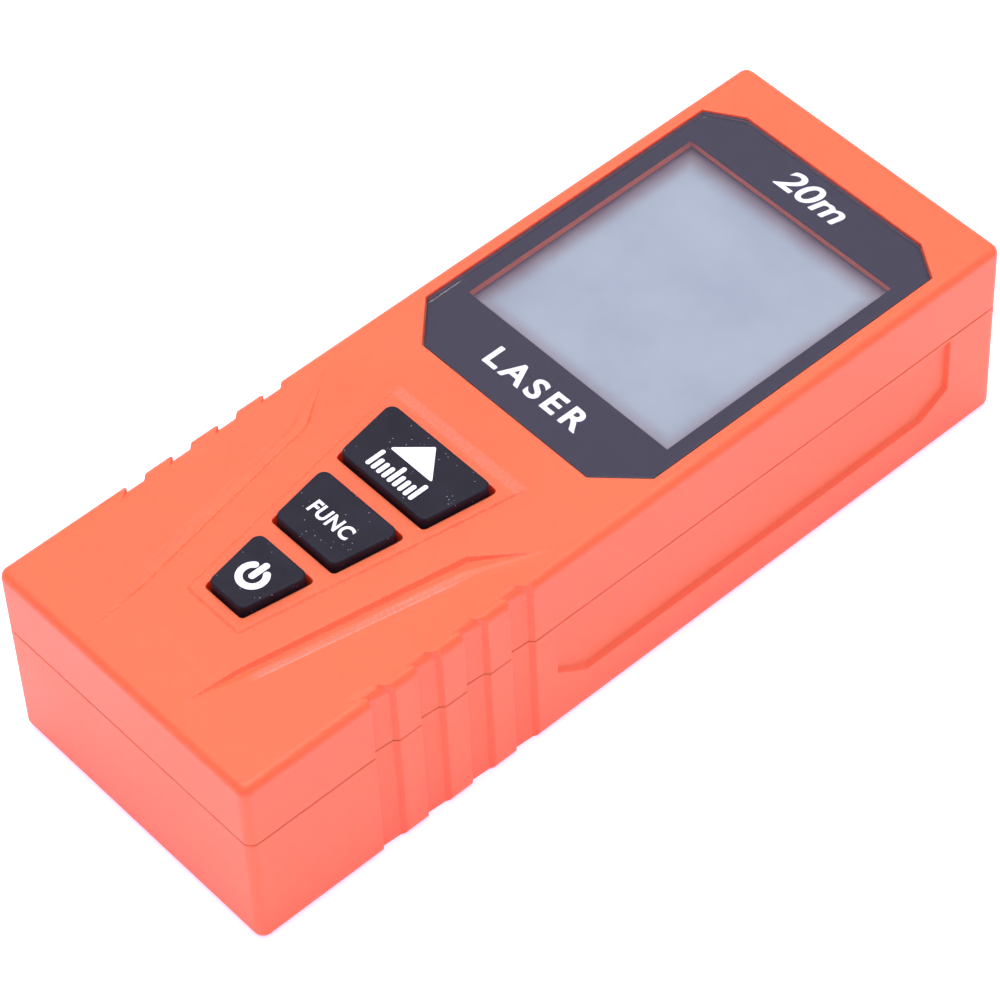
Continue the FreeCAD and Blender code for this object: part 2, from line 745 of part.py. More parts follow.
pad(lcd_frame, "lcd_frame_ring",
    [[(-17.45, 3.6), (17.45, 3.6), (17.45, 42.45), (-17.45, 42.45)],
     [(-16.75, 5.5), (16.75, 5.5), (16.75, 41.9), (-16.75, 41.9)]],
    BOARD_TOP + 0.05, LCD - BOARD_TOP - 0.05)
node("lcd_frame", lcd_frame)

# ============================================================== keypad
TOP = H + D("key_rise")
FLANGE_TOP = CEIL - 0.2
pills = {"measure": (-13.8, 2.2), "func": (-24.4, 2.0), "power": (-34.7, 1.5)}
for key in KEYS:
    b = new_body(key + "_button")
    gap = D("key_gap")
    stem = BOARD_TOP + D("key_travel") + 0.35
    pad(b, key + "_stem", [key_loop(key, gap)], stem, TOP - stem)
    dress(b, "Fillet", key + "_corners", D("key_corner"), upright)
    dress(b, "Fillet", key + "_rim", D("key_edge"), at_level(TOP))
    pad(b, key + "_flange", [key_loop(key, gap - 0.75)], FLANGE_TOP - 1.1, 1.1)
    node(key + "_button", b)
    y, radius = pills[key]
    node(key + "_contact_pill", rod(key + "_contact_pill", "Z", 0, y,
                                    BOARD_TOP + D("key_travel") + 0.05, radius,
                                    0.3))
mat = new_body("keypad_mat")
pad(mat, "mat_sheet",
    [[(-11.5, -6.9), (11.5, -6.9), (8.0, -41.2), (-8.0, -41.2)]]
    + [key_loop(key, -0.1) for key in KEYS], BOARD_TOP + 0.05, 0.8)
node("keypad_mat", mat)

# ============================================================ main board
board = new_body("main_board")
pad(board, "board_plate",
    [[(-16.6, -42.5), (16.6, -42.5), (16.6, 42.5), (-16.6, 42.5)]],
    BOARD, D("board_thick"), [(x, y, 1.0) for x, y in BOARD_SCREWS])
node("main_board", board)
node("processor_chip", box("processor_chip", 1.0, 11.0, 4.0, 14.0,
                           BOARD - 1.45, BOARD - 0.05))
node("laser_driver_chip", box("laser_driver_chip", -4.0, 4.0, -16.0, -9.0,
                              BOARD - 1.3, BOARD - 0.05))
node("buzzer", cut("buzzer", rod("buzzer_can", "Z", -11.4, 9.0, BOARD - 3.6,
                                 4.4, 3.55),
                   [rod("buzzer_port", "Z", -11.4, 9.0, BOARD - 4.0, 0.8, 1.4)]))
screw_items = []
for x, y in BOARD_SCREWS:
    one = fuse("board_screw", [
        rod("board_shank", "Z", x, y, BOARD - 0.3, 0.8, 4.6),
        rod("board_head", "Z", x, y, BOARD - 1.25, 1.6, 1.2)])
    screw_items.append(cut("board_screw_slotted", one, [
        box("board_slot", x - 1.2, x + 1.2, y - 0.2, y + 0.2, BOARD - 1.5,
            BOARD - 0.75),
        box("board_slot_b", x - 0.2, x + 0.2, y - 1.2, y + 1.2, BOARD - 1.5,
            BOARD - 0.75)]))
node("board_screws", fuse("board_screws", screw_items))

# =============================================================== optics
RR = D("receiver_radius")
BR = D("barrel_radius")
bracket_base = box("bracket_base", -12.3, 12.3, 20.0, 49.2, 1.8, 17.4)
ears = [box("ear", 12.0 * s if s > 0 else -16.9, 16.9 if s > 0 else -12.0,
            30.6, 35.4, 5.1, 6.7) for s in (1, -1)]
node("optics_bracket", cut("optics_bracket",
                           fuse("bracket_mass", [bracket_base] + ears), [
    rod("receiver_seat", "Y", REC_X, 45.4, OPT_Z, RR + 0.08, 5.0),
    cone("receiver_cone", "Y", REC_X, 21.9, OPT_Z, 3.4, RR - 0.8, 23.6),
    rod("sensor_bore", "Y", REC_X, 19.0, OPT_Z, 2.95, 3.2),
    rod("emitter_bore", "Y", EMI_X, 19.0, OPT_Z, BR + 0.06, 32.0),
    box("relief_a", -4.3, -2.0, 24.0, 46.0, 1.0, 12.0),
    rod("ear_hole_a", "Z", 15.0, 33.0, 4.0, 1.1, 4.0),
    rod("ear_hole_b", "Z", -15.0, 33.0, 4.0, 1.1, 4.0)]))
ear_screws = []
for s in (1, -1):
    ear_screws.append(cut("bracket_screw", fuse("bracket_screw_mass", [
        rod("bracket_shank", "Z", 15.0 * s, 33.0, 2.3, 0.8, 4.6),
        rod("bracket_head", "Z", 15.0 * s, 33.0, 6.75, 1.7, 1.2)]), [
        box("bracket_slot", 15.0 * s - 1.2, 15.0 * s + 1.2, 32.8, 33.2, 7.4, 8.5),
        box("bracket_slot_b", 15.0 * s - 0.2, 15.0 * s + 0.2, 31.8, 34.2, 7.4,
            8.5)]))
node("bracket_screws", fuse("bracket_screws", ear_screws))


def turned(name, profile, x, z, along="Y"):
    """Revolved piece: profile is (radius, position) about an axis on Y."""
    b = new_body(name)
    sk = body_sketch(b, name + "_profile", 0)
    loop(sk, profile)
    r = b.newObject("PartDesign::Revolution", name + "_turn")
    r.Profile = sk
    r.ReferenceAxis = (sk, ["V_Axis"])
    r.Angle = 360.0
    place(b, x, 0, z)
    doc.recompute()
    return node(name, b)


# Plano-convex receiver lens, dome toward the target.
lens_profile = [(0.0, 45.5), (RR, 45.5), (RR, 47.1)]
radius_dome = (36.0 + 1.7 ** 2) / (2 * 1.7)
for i in range(1, 8):
    x = 6.0 * (1 - i / 8.0)
    lens_profile.append((x, 48.8 - radius_dome
                         + math.sqrt(radius_dome ** 2 - x ** 2)))
lens_profile.append((0.0, 48.8))
turned("receiver_lens", lens_profile, REC_X, OPT_Z)
turned("laser_barrel", [(BR - 0.8, 36.6), (BR, 36.6), (BR, 48.9),
                        (BR - 1.2, 48.9), (BR - 1.2, 47.4), (BR - 0.8, 47.4)],
       EMI_X, OPT_Z)
turned("collimator_lens", [(0.0, 45.0), (2.12, 45.0), (2.12, 46.2),
                           (1.4, 46.7), (0.0, 46.95)], EMI_X, OPT_Z)
diode = fuse("diode_mass", [
    rod("diode_flange", "Y", EMI_X, 35.0, OPT_Z, 2.8, 1.4),
    rod("diode_can", "Y", EMI_X, 36.3, OPT_Z, 1.8, 2.3)]
    + [rod("diode_lead", "Y", EMI_X + dx, 27.5, OPT_Z + dz, 0.23, 7.7)
       for dx, dz in ((-1.0, -0.6), (1.0, -0.6), (0.0, 1.1))])
node("laser_diode", diode)
node("photodiode", fuse("photodiode", [
    rod("photo_flange", "Y", REC_X, 18.87, OPT_Z, 2.7, 1.0),
    rod("photo_can", "Y", REC_X, 19.8, OPT_Z, 2.2, 2.0)]))
node("receiver_board", box("receiver_board", -12.0, 12.0, 17.6, 18.8, 2.4, 16.9))
node("receiver_shield", cut("receiver_shield", box(
    "shield_can", -0.5, 11.0, 14.9, 17.55, 5.0, 15.2),
    [box("shield_room", -0.2, 10.7, 15.2, 18.0, 5.3, 14.9)]))
node("optics_ribbon", fuse("optics_ribbon", [
    box("ribbon_drop", -6.0, -1.5, 17.25, 17.5, 11.0, 17.6),
    box("ribbon_run", -6.0, -1.5, 9.0, 17.5, 17.4, 17.62)]))

# Black panel at the laser end with its two clear windows.
panel = new_body("front_panel")
pad(panel, "panel_flange", [[(-15.6, 2.6), (15.6, 2.6), (15.6, 20.9),
                             (-15.6, 20.9)]], -49.5 - 1.22, 1.22,
    role="XZ_Plane")
pad(panel, "panel_face", [[(-14.3, 3.7), (14.3, 3.7), (14.3, 19.9),
                           (-14.3, 19.9)]], -(L2 - 0.35), L2 - 0.35 - 50.6,
    role="XZ_Plane")
panel_cuts = [
    rod("receiver_hole", "Y", REC_X, 49.0, OPT_Z, RR + 0.1, 5.0),
    rod("receiver_ledge", "Y", REC_X, 49.0, OPT_Z, RR + 0.8, 2.0),
    cone("receiver_flare", "Y", REC_X, L2 - 1.35, OPT_Z, RR + 0.1, RR + 0.8, 1.05),
    rod("emitter_hole", "Y", EMI_X, 49.0, OPT_Z, 2.3, 5.0),
    rod("emitter_ledge", "Y", EMI_X, 49.0, OPT_Z, 3.1, 2.0),
    cone("emitter_flare", "Y", EMI_X, L2 - 1.35, OPT_Z, 2.3, 3.0, 1.05)]
node("front_panel", cut("front_panel", panel, panel_cuts))
panel.Label = "front_panel_blank"
node("receiver_window", rod("receiver_window", "Y", REC_X, 49.9, OPT_Z,
                            RR + 0.7, 1.05))
node("emitter_window", rod("emitter_window", "Y", EMI_X, 49.9, OPT_Z, 3.0,
                           1.05))

# ========================================================== battery bay
CZ = D("cell_level")
CX = D("cell_offset")
CR = D("cell_radius")
CS = D("cell_start")
CL = D("cell_can")
END = CS + CL


def cell(name, x, positive):
    b = new_body(name)
    sk = body_sketch(b, name + "_profile", 0)
    if positive > 0:
        pts = [(0.0, CS), (CR - 0.4, CS), (CR, CS + 0.4), (CR, END - 0.5),
               (CR - 0.5, END), (1.9, END), (1.9, END + 0.95), (0.0, END + 0.95)]
    else:
        pts = [(0.0, CS - 0.95), (1.9, CS - 0.95), (1.9, CS), (CR - 0.5, CS),
               (CR, CS + 0.5), (CR, END - 0.4), (CR - 0.4, END), (0.0, END)]
    loop(sk, pts)
    r = b.newObject("PartDesign::Revolution", name + "_turn")
    r.Profile = sk
    r.ReferenceAxis = (sk, ["V_Axis"])
    r.Angle = 360.0
    place(b, x, 0, CZ)
    doc.recompute()
    return node(name, b)


cell("battery_cell_left", -CX, 1)
cell("battery_cell_right", CX, -1)


def coil(name, x, z, y0, y1, r0, r1, wire, turns):
    """Conical contact spring wound about an axis on Y."""
    steps = int(turns * 16)
    pts = []
    for i in range(steps + 1):
        t = i / float(steps)
        a = 2 * math.pi * turns * t
        r = r0 + (r1 - r0) * t
        pts.append(Vector(x + r * math.cos(a), y0 + (y1 - y0) * t,
                          z + r * math.sin(a)))
    path = Part.BSplineCurve()
    path.interpolate(pts)
    wire_path = Part.Wire([path.toShape()])
    start = path.value(path.FirstParameter)
    tangent = path.tangent(path.FirstParameter)[0]
    circle = Part.Wire([Part.makeCircle(wire, start, tangent)])
    return wire_path.makePipeShell([circle], True, True)


spring_r = 3.4
node("bridge_spring", feature("bridge_spring", coil(
    "bridge_spring", -VALUE["cell_offset"], VALUE["cell_level"],
    VALUE["cell_start"] - 1.85, VALUE["cell_start"] - 0.32, spring_r, 2.0,
    0.25, 3)))
node("negative_spring", feature("negative_spring", coil(
    "negative_spring", VALUE["cell_offset"], VALUE["cell_level"],
    VALUE["bay_high"] - 0.95, VALUE["bay_high"] - 2.4, spring_r, 2.0,
    0.25, 3)))
BL, BH = D("bay_low"), D("bay_high")
node("bridge_contact", fuse("bridge_contact", [
    box("bridge_plate", -10.2, 10.2, BL + 0.05, BL + 0.5, 3.0, 11.6),
    rod("bridge_bump", "Y", CX, BL + 0.4, CZ, 1.4, 1.3)]))
node("positive_contact", fuse("positive_contact", [
    box("positive_plate", -10.2, -1.3, BH - 0.6, BH - 0.1, 3.0, 11.6),
    box("positive_tab", -6.6, -4.6, BH - 0.6, BH - 0.1, 11.0, BOARD - 0.05),
    rod("positive_bump", "Y", -CX, BH - 1.7, CZ, 1.4, 1.2)]))
node("negative_contact", fuse("negative_contact", [
    box("negative_plate", 1.3, 10.2, BH - 0.6, BH - 0.1, 3.0, 11.6),
    box("negative_tab", 4.6, 6.6, BH - 0.6, BH - 0.1, 11.0, BOARD - 0.05)]))

# Door: hinged at its laser end on two integral pivots, nail ridges at the
# base end.
DH, DLOW, DI, DT = D("door_half"), D("door_low"), D("door_inset"), D("door_thick")
HY, HZ, HR = D("hinge_along"), D("hinge_level"), D("hinge_round")
door = new_body("door_blank")
pad(door, "door_plate", [[(-DH, DLOW), (DH, DLOW), (DH, HY), (-DH, HY)]], DI, DT)
dress(door, "Fillet", "door_corners", 0.6,
      lambda a, b: upright(a, b) and a.y < -10)
ridges = [box("ridge_groove", -6.0, 6.0, DLOW + 2.0 + 1.6 * i,
              DLOW + 2.8 + 1.6 * i, -1.0, DI + 0.35) for i in range(5)]
door_items = [cut("door_ridged", door, ridges),
              rod("door_knuckle", "X", -DH, HY, HZ, HR, DH * 2),
              rod("door_pivots", "X", -(DH + 1.25), HY, HZ, D("pin_radius"),
                  DH * 2 + 2.5)]
node("battery_door", fuse("battery_door", door_items))

# ========================================================= case screws
screws = []
for sx, sy in CORNERS:
    one = fuse("case_screw", [
        rod("case_shank", "Z", SX * sx, SY * sy, 2.5, D("screw_radius"), 18.5),
        rod("case_head", "Z", SX * sx, SY * sy, 1.5, 1.9, 1.45)])
    px, py = num(SX) * sx, num(SY) * sy
    screws.append(cut("case_screw_slotted", one, [
        box("case_slot", SX * sx - 1.3, SX * sx + 1.3, SY * sy - 0.22,
            SY * sy + 0.22, 1.0, 2.2),
        box("case_slot_b", SX * sx - 0.22, SX * sx + 0.22, SY * sy - 1.3,
            SY * sy + 1.3, 1.0, 2.2)]))
node("case_screws", fuse("case_screws", screws))

# ============================================================== output
doc.recompute()
failed = []
for obj in doc.Objects:
    if "Invalid" in obj.State or "Error" in obj.State:
        failed.append("%s %s" % (obj.Label, obj.State))
for name, obj in NODES.items():
    shape = obj.Shape
    if shape.isNull() or not shape.isValid() or shape.Volume <= 0:
        failed.append("%s has no valid shape" % name)
if failed:
    raise RuntimeError("; ".join(failed))
for name, obj in sorted(NODES.items()):
    shape = obj.Shape
    shape.exportStep("parts/%s.step" % name)
    bb = shape.BoundBox
    print("%-22s solids %d  vol %9.1f  x %7.2f %7.2f  y %7.2f %7.2f  z %6.2f %6.2f"
          % (name, len(shape.Solids), shape.Volume, bb.XMin, bb.XMax, bb.YMin,
             bb.YMax, bb.ZMin, bb.ZMax))
print("nodes", len(NODES))
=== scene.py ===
import json
import math

import bmesh
import bpy
from mathutils import Matrix, Vector


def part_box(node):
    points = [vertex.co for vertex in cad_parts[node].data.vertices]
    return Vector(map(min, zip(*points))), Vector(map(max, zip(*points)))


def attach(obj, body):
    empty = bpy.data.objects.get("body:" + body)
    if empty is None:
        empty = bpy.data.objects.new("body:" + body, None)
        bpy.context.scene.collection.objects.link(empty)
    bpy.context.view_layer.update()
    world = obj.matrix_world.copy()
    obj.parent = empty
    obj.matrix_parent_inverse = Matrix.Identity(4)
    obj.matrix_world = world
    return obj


MM = 0.001
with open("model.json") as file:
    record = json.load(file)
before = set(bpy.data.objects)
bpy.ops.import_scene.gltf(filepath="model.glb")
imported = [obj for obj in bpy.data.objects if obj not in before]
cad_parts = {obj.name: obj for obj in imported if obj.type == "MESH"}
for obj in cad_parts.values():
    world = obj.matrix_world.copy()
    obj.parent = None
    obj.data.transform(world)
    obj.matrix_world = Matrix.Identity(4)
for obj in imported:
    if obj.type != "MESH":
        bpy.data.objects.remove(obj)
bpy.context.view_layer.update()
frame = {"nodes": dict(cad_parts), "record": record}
NODES = frame["nodes"]
scene = bpy.context.scene

# ------------------------------------------------------------------ camera
RIGHT = Vector((0.66903634, 0.74241631, -0.03476194))
DOWN = Vector((0.55067616, -0.52657332, -0.64766991))
AHEAD = Vector((-0.49914541, 0.41417213, -0.76112765))
EYE = Vector((0.22926841, -0.19259673, 0.36094868))
cam_data = bpy.data.cameras.new("camera")
cam_data.sensor_width = 36.0
cam_data.lens = 36.0 * 4360.568 / 1000.0
cam_data.clip_start = 0.01
cam_data.clip_end = 20.0
camera = bpy.data.objects.new("camera", cam_data)
turn = Matrix.Identity(4)
for row in range(3):
    turn[row][0] = RIGHT[row]
    turn[row][1] = -DOWN[row]
    turn[row][2] = -AHEAD[row]
camera.matrix_world = Matrix.Translation(EYE) @ turn
scene.collection.objects.link(camera)
scene.camera = camera
scene.view_settings.view_transform = "Standard"
scene.view_settings.look = "None"
scene.view_settings.exposure = 0.0
scene.view_settings.gamma = 1.0


# --------------------------------------------------------------- materials
class Shader:
    """A node material being put together; positions are in millimetres."""

    def __init__(self, name):
        self.material = bpy.data.materials.new(name)
        self.material.use_nodes = True
        self.tree = self.material.node_tree
        self.tree.nodes.clear()
        self.out = self.tree.nodes.new("ShaderNodeOutputMaterial")
        self.bsdf = self.tree.nodes.new("ShaderNodeBsdfPrincipled")
        self.link(self.bsdf.outputs[0], self.out.inputs["Surface"])
        where = self.tree.nodes.new("ShaderNodeTexCoord")
        scale = self.tree.nodes.new("ShaderNodeVectorMath")
        scale.operation = "SCALE"
        self.link(where.outputs["Object"], scale.inputs[0])
        scale.inputs["Scale"].default_value = 1000.0
        self.place = scale.outputs[0]

    def link(self, a, b):
        self.tree.links.new(a, b)

    def add(self, kind):
        return self.tree.nodes.new(kind)

    def stretch(self, x, y, z, source=None):
        n = self.add("ShaderNodeVectorMath")
        n.operation = "MULTIPLY"
        self.link(source or self.place, n.inputs[0])
        n.inputs[1].default_value = (x, y, z)
        return n.outputs[0]

    def noise(self, scale, detail=3.0, rough=0.5, source=None, warp=0.0):
        n = self.add("ShaderNodeTexNoise")
        self.link(source or self.place, n.inputs["Vector"])
        n.inputs["Scale"].default_value = scale
        n.inputs["Detail"].default_value = detail
        n.inputs["Roughness"].default_value = rough
        n.inputs["Distortion"].default_value = warp
        return n.outputs["Fac"]

    def cells(self, scale, feature="F1", source=None, output="Distance"):
        n = self.add("ShaderNodeTexVoronoi")
        n.feature = feature
        self.link(source or self.place, n.inputs["Vector"])
        n.inputs["Scale"].default_value = scale
        return n.outputs[output]

    def ramp(self, value, low, high, a=0.0, b=1.0, smooth=True):
        n = self.add("ShaderNodeMapRange")
        n.interpolation_type = "SMOOTHSTEP" if smooth else "LINEAR"
        self.link(value, n.inputs["Value"])
        n.inputs["From Min"].default_value = low
        n.inputs["From Max"].default_value = high
        n.inputs["To Min"].default_value = a
        n.inputs["To Max"].default_value = b
        return n.outputs["Result"]

    def math(self, op, a, b):
        n = self.add("ShaderNodeMath")
        n.operation = op
        for i, x in enumerate((a, b)):
            if isinstance(x, (int, float)):
                n.inputs[i].default_value = x
            else:
                self.link(x, n.inputs[i])
        return n.outputs[0]

    def mix(self, share, a, b):
        """Colour mix; a and b are colours or sockets."""
        n = self.add("ShaderNodeMix")
        n.data_type = "RGBA"
        self.link(share, n.inputs[0])
        for socket, x in ((n.inputs[6], a), (n.inputs[7], b)):
            if isinstance(x, tuple):
                socket.default_value = x + (1.0,) if len(x) == 3 else x
            else:
                self.link(x, socket)
        return n.outputs[2]

    def colour(self, socket):
        self.link(socket, self.bsdf.inputs["Base Color"])

    def rough(self, socket):
        self.link(socket, self.bsdf.inputs["Roughness"])

    def edges(self, radius_mm, low, high):
        """0 on flat ground, rising to 1 on an edge, out to that radius."""
        edge = self.add("ShaderNodeBevel")
        edge.samples = 6
        edge.inputs["Radius"].default_value = radius_mm * MM
        ground = self.add("ShaderNodeNewGeometry")
        turn = self.add("ShaderNodeVectorMath")
        turn.operation = "DOT_PRODUCT"
        self.link(edge.outputs[0], turn.inputs[0])
        self.link(ground.outputs["Normal"], turn.inputs[1])
        return self.ramp(turn.outputs["Value"], low, high)

    def height(self, value, depth_mm, strength=1.0, soften=0.0):
        """Bump of that depth, over edges softened by a small radius."""
        bump = self.add("ShaderNodeBump")
        bump.inputs["Strength"].default_value = strength
        bump.inputs["Distance"].default_value = depth_mm * MM
        self.link(value, bump.inputs["Height"])
        if soften:
            edge = self.add("ShaderNodeBevel")
            edge.samples = 6
            edge.inputs["Radius"].default_value = soften * MM
            self.link(edge.outputs[0], bump.inputs["Normal"])
        self.link(bump.outputs[0], self.bsdf.inputs["Normal"])

    def set(self, **values):
        names = {"ior": "IOR", "metal": "Metallic", "spec": "Specular IOR Level",
                 "coat": "Coat Weight", "coat_rough": "Coat Roughness",
                 "sheen": "Sheen Weight", "sheen_rough": "Sheen Roughness",
                 "through": "Transmission Weight", "roughness": "Roughness",
                 "base": "Base Color", "sss": "Subsurface Weight",
                 "sss_scale": "Subsurface Scale", "aniso": "Anisotropic"}
        for key, value in values.items():
            if isinstance(value, tuple) and len(value) == 3:
                value = value + (1.0,)
            self.bsdf.inputs[names[key]].default_value = value


def shade(colour, factor):
    return tuple(min(1.0, c * factor) for c in colour)


ORANGE = (0.93, 0.130, 0.033)


def case_plastic(name, colour, hue_to):
    """Satin moulded plastic: spark-eroded grain and faint flow mottling, with
    painted shade and painted highlights on the edges and a painted highlight beside
    the keypad."""
    s = Shader(name)
    broad = s.ramp(s.noise(0.05, 3.0, 0.55), 0.3, 0.7)
    fine = s.noise(6.5, 3.0, 0.6)
    grit = s.cells(3.6)
    tone = s.mix(broad, shade(colour, 0.975), hue_to)
    tone = s.mix(s.ramp(fine, 0.32, 0.72, 0.0, 0.35), tone,
                 shade(colour, 1.06))
    # Painted light on every edge, stronger towards the top: a deeper tone as
    # painted shade, with pale specks over it as painted highlight glints in the
    # grain.
    axes = s.add("ShaderNodeSeparateXYZ")
    s.link(s.place, axes.inputs[0])
    painted_edge_light = s.math("MULTIPLY", s.edges(0.55, 0.9985, 0.972),
                  s.ramp(axes.outputs["Z"], 20.5, 23.2, 0.12, 1.0))
    tips = s.ramp(s.noise(4.2, 4.0, 0.7), 0.50, 0.62)
    # Painted shade: the edges turn a deeper, more saturated tone.
    tone = s.mix(s.math("MULTIPLY", painted_edge_light, 0.45), tone,
                 (colour[0] * 0.98, colour[1] * 0.86, colour[2] * 0.7))
    # Painted highlight: pale glint specks on the edges.
    tone = s.mix(s.math("MULTIPLY", s.math("MULTIPLY", painted_edge_light, tips), 0.5),
                 tone, (0.96, 0.27, 0.16))
    # Painted highlight: pale flecked glints along the outer lip of the channel
    # beside the keypad field, full on the +x side and faint on the -x side, and on
    # the slope above the top key.
    out = s.math("ABSOLUTE", axes.outputs["X"], 0.0)
    lip = s.math("ADD", s.math("MULTIPLY", axes.outputs["Y"], 0.1963), 17.72)
    off = s.math("SUBTRACT", out, lip)
    band = s.math("MULTIPLY", s.ramp(off, -1.25, -0.75),
                  s.ramp(off, -0.05, 0.12, 1.0, 0.0))
    line = s.math("MULTIPLY", s.ramp(off, -0.24, -0.1),
                  s.ramp(off, -0.05, 0.12, 1.0, 0.0))
    reach = s.math("MULTIPLY", s.ramp(axes.outputs["Y"], -43.6, -41.0),
                   s.ramp(axes.outputs["Y"], -22.5, -16.5, 1.0, 0.0))
    reach = s.math("MULTIPLY", reach, s.ramp(axes.outputs["Z"], 23.6, 24.1))
    reach = s.math("MULTIPLY", reach,
                   s.ramp(axes.outputs["X"], -1.0, 1.0, 0.12, 1.0))
    flecks = s.ramp(s.noise(3.4, 4.0, 0.7), 0.40, 0.66, 0.35, 1.0)
    painted_highlight = s.math("MULTIPLY", reach, s.math(
        "ADD", s.math("MULTIPLY", s.math("MULTIPLY", band, flecks), 0.085),
        s.math("MULTIPLY", s.math("MULTIPLY", line, flecks), 0.13)))
    # The slope above the top key gets the same painted highlight.
    slope = s.math("MULTIPLY", s.ramp(axes.outputs["Y"], -8.6, -8.0),
                   s.ramp(axes.outputs["Y"], -7.1, -6.6, 1.0, 0.0))
    slope = s.math("MULTIPLY", slope, s.ramp(out, 9.2, 10.2, 1.0, 0.0))
    slope = s.math("MULTIPLY", slope, s.ramp(axes.outputs["Z"], 24.6, 24.9))
    painted_highlight = s.math("ADD", painted_highlight, s.math("MULTIPLY", slope, s.math(
        "MULTIPLY", flecks, 0.085)))
    # Mix the painted highlight into the colour.
    tone = s.mix(painted_highlight, tone, (0.95, 0.86, 0.90))
    s.colour(tone)
    s.rough(s.math("ADD", s.ramp(fine, 0.2, 0.8, 0.40, 0.52),
                   s.ramp(broad, 0.0, 1.0, -0.02, 0.03)))
    s.height(s.math("ADD", s.math("MULTIPLY", fine, 0.7),
                    s.math("MULTIPLY", grit, 0.3)), 0.022, 0.8, 0.22)
    s.set(spec=0.5, ior=1.5, sss=0.6, sss_scale=0.0026)
    s.bsdf.inputs["Subsurface Radius"].default_value = (1.0, 0.10, 0.05)
    return s.material


def satin(name, colour, rough=0.45, grain=5.0, depth=0.006, vary=0.12,
          soften=0.08, **extra):
    """Small moulded, printed or coated part."""
    s = Shader(name)
    fine = s.noise(grain, 3.0, 0.55)
    broad = s.noise(0.25, 2.0)
    tone = s.mix(s.ramp(fine, 0.25, 0.75), shade(colour, 1 - vary),
                 shade(colour, 1 + vary))
    tone = s.mix(s.ramp(broad, 0.35, 0.75, 0.0, 0.35), tone,
                 shade(colour, 1 + vary * 0.7))
    s.colour(tone)
    s.rough(s.ramp(fine, 0.2, 0.8, rough - 0.06, rough + 0.08))
    if depth:
        s.height(fine, depth, 0.5, soften)
    s.set(**extra)
    return s.material


def silicone(name, dusty=True):
    """Matt black silicone with a soft bloom and a few specks of dust."""
    s = Shader(name)
    fine = s.noise(9.0, 4.0, 0.6)
    cloud = s.noise(0.22, 3.0, 0.5, warp=0.6)
    tone = s.mix(s.ramp(cloud, 0.3, 0.72), (0.0088, 0.0088, 0.0136),
                 (0.0130, 0.0130, 0.0190))
    if dusty:
        spread = s.noise(0.33, 2.0, 0.6)
        cell = s.cells(2.1, output="Color")
        pick = s.add("ShaderNodeSeparateColor")
        s.link(cell, pick.inputs[0])
        chosen = s.math("GREATER_THAN", pick.outputs[0],
                        s.ramp(spread, 0.35, 0.7, 0.95, 0.45))
        dot = s.ramp(s.cells(2.1), 0.07, 0.16, 1.0, 0.0)
        specks = s.math("MULTIPLY", s.math("MULTIPLY", chosen, dot), 0.85)
        tone = s.mix(specks, tone, (0.34, 0.34, 0.38))
        lint = s.ramp(s.noise(5.5, 5.0, 0.75), 0.64, 0.72, 0.0, 0.35)
        tone = s.mix(s.math("MULTIPLY", lint, s.ramp(spread, 0.4, 0.7)), tone,
                     (0.16, 0.16, 0.19))
    s.colour(tone)
    s.rough(s.ramp(fine, 0.2, 0.8, 0.46, 0.60))
    s.height(fine, 0.010, 0.6, 0.12)
    s.set(spec=0.18)
    return s.material


def metal(name, colour, rough=0.3, brushed=(1.0, 1.0, 1.0), vary=0.1,
          depth=0.003):
    s = Shader(name)
    grain = s.noise(7.0, 4.0, 0.6, source=s.stretch(*brushed))
    tarnish = s.noise(0.6, 3.0)
    tone = s.mix(s.ramp(grain, 0.25, 0.75), shade(colour, 1 - vary),
                 shade(colour, 1 + vary))
    tone = s.mix(s.ramp(tarnish, 0.45, 0.8, 0.0, 0.3), tone,
                 shade(colour, 0.7))
    s.colour(tone)
    s.rough(s.ramp(grain, 0.2, 0.8, rough - 0.07, rough + 0.1))
    s.height(grain, depth, 0.5, 0.05)
    s.set(metal=1.0)
    return s.material


def clear(name, tint, rough=0.0, ior=1.49, wave=0.0008):
    """Clear moulding that lets lamp light through to what is behind it."""
    s = Shader(name)
    swirl = s.noise(0.06, 1.0, 0.4)
    smear = s.ramp(s.noise(0.09, 2.0, 0.5), 0.35, 0.75)
    s.colour(s.mix(smear, tint, shade(tint, 0.985)))
    if wave:
        s.rough(s.ramp(smear, 0.0, 1.0, rough + 0.002, rough + 0.012))
        s.height(swirl, wave, 0.2)
    else:
        s.set(roughness=rough)
    s.set(through=1.0, ior=ior)
    path = s.add("ShaderNodeLightPath")
    lamp = s.add("ShaderNodeBsdfTransparent")
    lamp.inputs[0].default_value = tint + (1.0,)
    both = s.add("ShaderNodeMixShader")
    s.link(s.math("MAXIMUM", path.outputs["Is Shadow Ray"],
                  path.outputs["Is Diffuse Ray"]), both.inputs[0])
    s.link(s.bsdf.outputs[0], both.inputs[1])
    s.link(lamp.outputs[0], both.inputs[2])
    s.link(both.outputs[0], s.out.inputs["Surface"])
    return s.material


